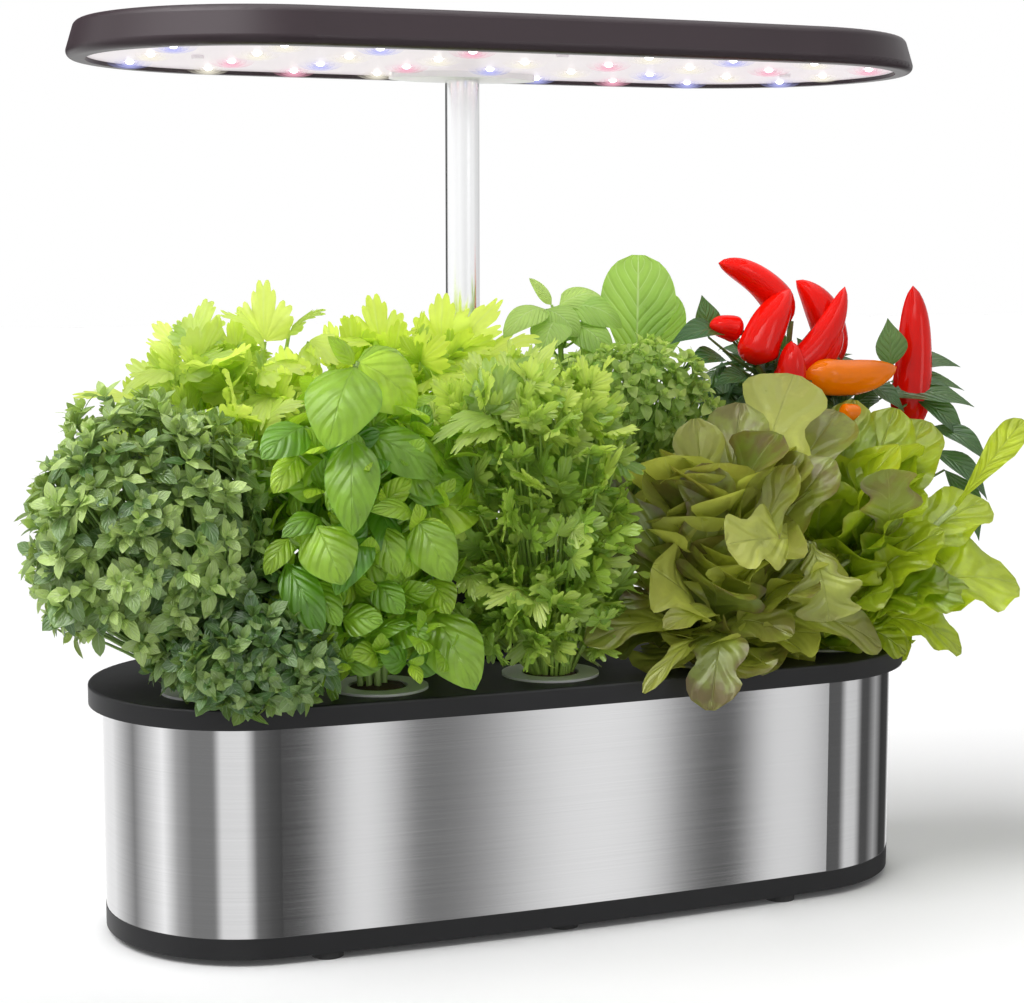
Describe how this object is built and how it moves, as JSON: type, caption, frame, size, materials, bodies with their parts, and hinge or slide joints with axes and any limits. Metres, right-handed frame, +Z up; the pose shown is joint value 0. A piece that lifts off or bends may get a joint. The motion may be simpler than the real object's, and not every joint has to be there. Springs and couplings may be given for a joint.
{
  "type": "countertop hydroponic garden",
  "caption": "Bow-sided countertop water garden: steel-wrapped tank, lift-off planting deck with net cups and plants, telescopic mast and oval LED grow lamp.",
  "frame": {"origin": "middle of the garden in plan, on the surface that its feet stand on", "axes": "+X along the length to the right seen from the front, +Y towards the mast at the rear, +Z up"},
  "size_m": [0.4711, 0.1957, 0.4029],
  "materials": {
    "black_plastic": "satin moulded ABS, faint moulding texture",
    "hood_plastic": "soft-touch charcoal, slightly warm",
    "steel": "horizontal brushed grain",
    "tank_plastic": "plain moulded",
    "rubber": "matt",
    "screw_steel": "bright zinc",
    "fascia_gloss": "gloss black panel",
    "button_plastic": "satin grey caps",
    "board_green": "solder-masked board",
    "lens_clear": "light pipe",
    "pump_plastic": "moulded",
    "float_white": "foamed plastic",
    "shaft_steel": "polished",
    "mast_aluminium": "polished, clear anodised",
    "bush_plastic": "acetal bush",
    "plate_white": "satin white",
    "board_white": "white-masked aluminium core board",
    "panel_white": "white diffusing sheet",
    "led_white": "glowing lens",
    "led_red": "glowing lens",
    "led_blue": "glowing lens",
    "collar_grey": "satin light grey",
    "inlet_metal": "plated contact in black body",
    "bush_basil_leaf": "living leaf, soft waxy sheen",
    "sweet_basil_leaf": "living leaf, soft waxy sheen",
    "parsley_leaf": "living leaf, soft waxy sheen",
    "red_lettuce_leaf": "living leaf, soft waxy sheen",
    "green_lettuce_leaf": "living leaf, soft waxy sheen",
    "chili_leaf": "living leaf, soft waxy sheen",
    "tall_basil_leaf": "living leaf, soft waxy sheen",
    "lovage_leaf": "living leaf, soft waxy sheen",
    "celery_leaf": "living leaf, soft waxy sheen",
    "chili_red": "glossy fruit skin"
  },
  "bodies": {
    "tank": {"base_tray": "black_plastic", "rubber_feet": "rubber", "base_screws": "screw_steel", "steel_wrap": "steel", "water_tank": "tank_plastic"},
    "deck": {"grow_deck": "black_plastic", "control_fascia": "fascia_gloss", "control_housing": "black_plastic", "control_board": "board_green", "status_lenses": "lens_clear", "lid_pin": "screw_steel", "pump_body": "pump_plastic", "pump_filter": "pump_plastic", "impeller_shaft": "shaft_steel", "outlet_tube": "pump_plastic", "level_stem": "pump_plastic", "float_clip": "screw_steel", "mast_socket": "black_plastic", "dc_inlet": "inlet_metal", "socket_screws": "screw_steel", "lower_tube": "mast_aluminium", "lower_collar": "bush_plastic"},
    "mast_middle": {"middle_tube": "mast_aluminium", "middle_guide": "bush_plastic", "middle_collar": "bush_plastic"},
    "lamp": {"top_tube": "mast_aluminium", "top_guide": "bush_plastic", "mast_plate": "plate_white", "hood_shell": "hood_plastic", "led_board": "board_white", "light_panel": "panel_white", "hood_screws": "screw_steel", "white_leds": "led_white", "red_leds": "led_red", "blue_leds": "led_blue"},
    "refill_lid": {"refill_lid": "black_plastic"},
    "light_button": {"light_button": "button_plastic"},
    "pump_button": {"pump_button": "button_plastic"},
    "link_button": {"link_button": "button_plastic"},
    "level_float": {"level_float": "float_white"},
    "impeller": {"pump_impeller": "pump_plastic"},
    "bush_basil_pod": {"bush_basil_basket": "collar_grey", "bush_basil_plant": "bush_basil_leaf"},
    "sweet_basil_pod": {"sweet_basil_basket": "collar_grey", "sweet_basil_plant": "sweet_basil_leaf"},
    "parsley_pod": {"parsley_basket": "collar_grey", "parsley_plant": "parsley_leaf"},
    "red_lettuce_pod": {"red_lettuce_basket": "collar_grey", "red_lettuce_plant": "red_lettuce_leaf"},
    "green_lettuce_pod": {"green_lettuce_basket": "collar_grey", "green_lettuce_plant": "green_lettuce_leaf"},
    "chili_pod": {"chili_basket": "collar_grey", "chili_plant": "chili_leaf", "chili_fruits": "chili_red"},
    "tall_basil_pod": {"tall_basil_basket": "collar_grey", "tall_basil_plant": "tall_basil_leaf"},
    "lovage_pod": {"lovage_basket": "collar_grey", "lovage_plant": "lovage_leaf"},
    "celery_pod": {"celery_basket": "collar_grey", "celery_plant": "celery_leaf"}
  },
  "joints": [
    {"name": "deck_lift", "type": "slide", "parent": "tank", "child": "deck", "axis": [0, 0, 1], "range_m": [0, 0.12]},
    {"name": "mast_middle_slide", "type": "slide", "parent": "deck", "child": "mast_middle", "axis": [0, 0, 1], "range_m": [-0.016, 0.067]},
    {"name": "lamp_slide", "type": "slide", "parent": "mast_middle", "child": "lamp", "axis": [0, 0, 1], "range_m": [-0.04, 0.065]},
    {"name": "refill_lid_swivel", "type": "hinge", "parent": "deck", "child": "refill_lid", "pos_m": [0.1, 0.05, 0.1153], "axis": [0, 0, -1], "range_deg": [0, 90]},
    {"name": "light_button_press", "type": "slide", "parent": "deck", "child": "light_button", "axis": [0, 0, -1], "range_m": [0, 0.0008], "stiffness_N_per_m": 400, "springref_m": -0.001},
    {"name": "pump_button_press", "type": "slide", "parent": "deck", "child": "pump_button", "axis": [0, 0, -1], "range_m": [0, 0.0008], "stiffness_N_per_m": 400, "springref_m": -0.001},
    {"name": "link_button_press", "type": "slide", "parent": "deck", "child": "link_button", "axis": [0, 0, -1], "range_m": [0, 0.0008], "stiffness_N_per_m": 400, "springref_m": -0.001},
    {"name": "level_float_rise", "type": "slide", "parent": "deck", "child": "level_float", "axis": [0, 0, 1], "range_m": [0, 0.05]},
    {"name": "impeller_spin", "type": "hinge", "parent": "deck", "child": "impeller", "pos_m": [-0.082, 0.046, 0.022], "axis": [0, 0, 1], "continuous": true},
    {"name": "bush_basil_pod_lift", "type": "slide", "parent": "deck", "child": "bush_basil_pod", "axis": [0, 0, 1], "range_m": [0, 0.06]},
    {"name": "sweet_basil_pod_lift", "type": "slide", "parent": "deck", "child": "sweet_basil_pod", "axis": [0, 0, 1], "range_m": [0, 0.06]},
    {"name": "parsley_pod_lift", "type": "slide", "parent": "deck", "child": "parsley_pod", "axis": [0, 0, 1], "range_m": [0, 0.06]},
    {"name": "red_lettuce_pod_lift", "type": "slide", "parent": "deck", "child": "red_lettuce_pod", "axis": [0, 0, 1], "range_m": [0, 0.06]},
    {"name": "green_lettuce_pod_lift", "type": "slide", "parent": "deck", "child": "green_lettuce_pod", "axis": [0, 0, 1], "range_m": [0, 0.06]},
    {"name": "chili_pod_lift", "type": "slide", "parent": "deck", "child": "chili_pod", "axis": [0, 0, 1], "range_m": [0, 0.06]},
    {"name": "tall_basil_pod_lift", "type": "slide", "parent": "deck", "child": "tall_basil_pod", "axis": [0, 0, 1], "range_m": [0, 0.06]},
    {"name": "lovage_pod_lift", "type": "slide", "parent": "deck", "child": "lovage_pod", "axis": [0, 0, 1], "range_m": [0, 0.06]},
    {"name": "celery_pod_lift", "type": "slide", "parent": "deck", "child": "celery_pod", "axis": [0, 0, 1], "range_m": [0, 0.06]}
  ]
}
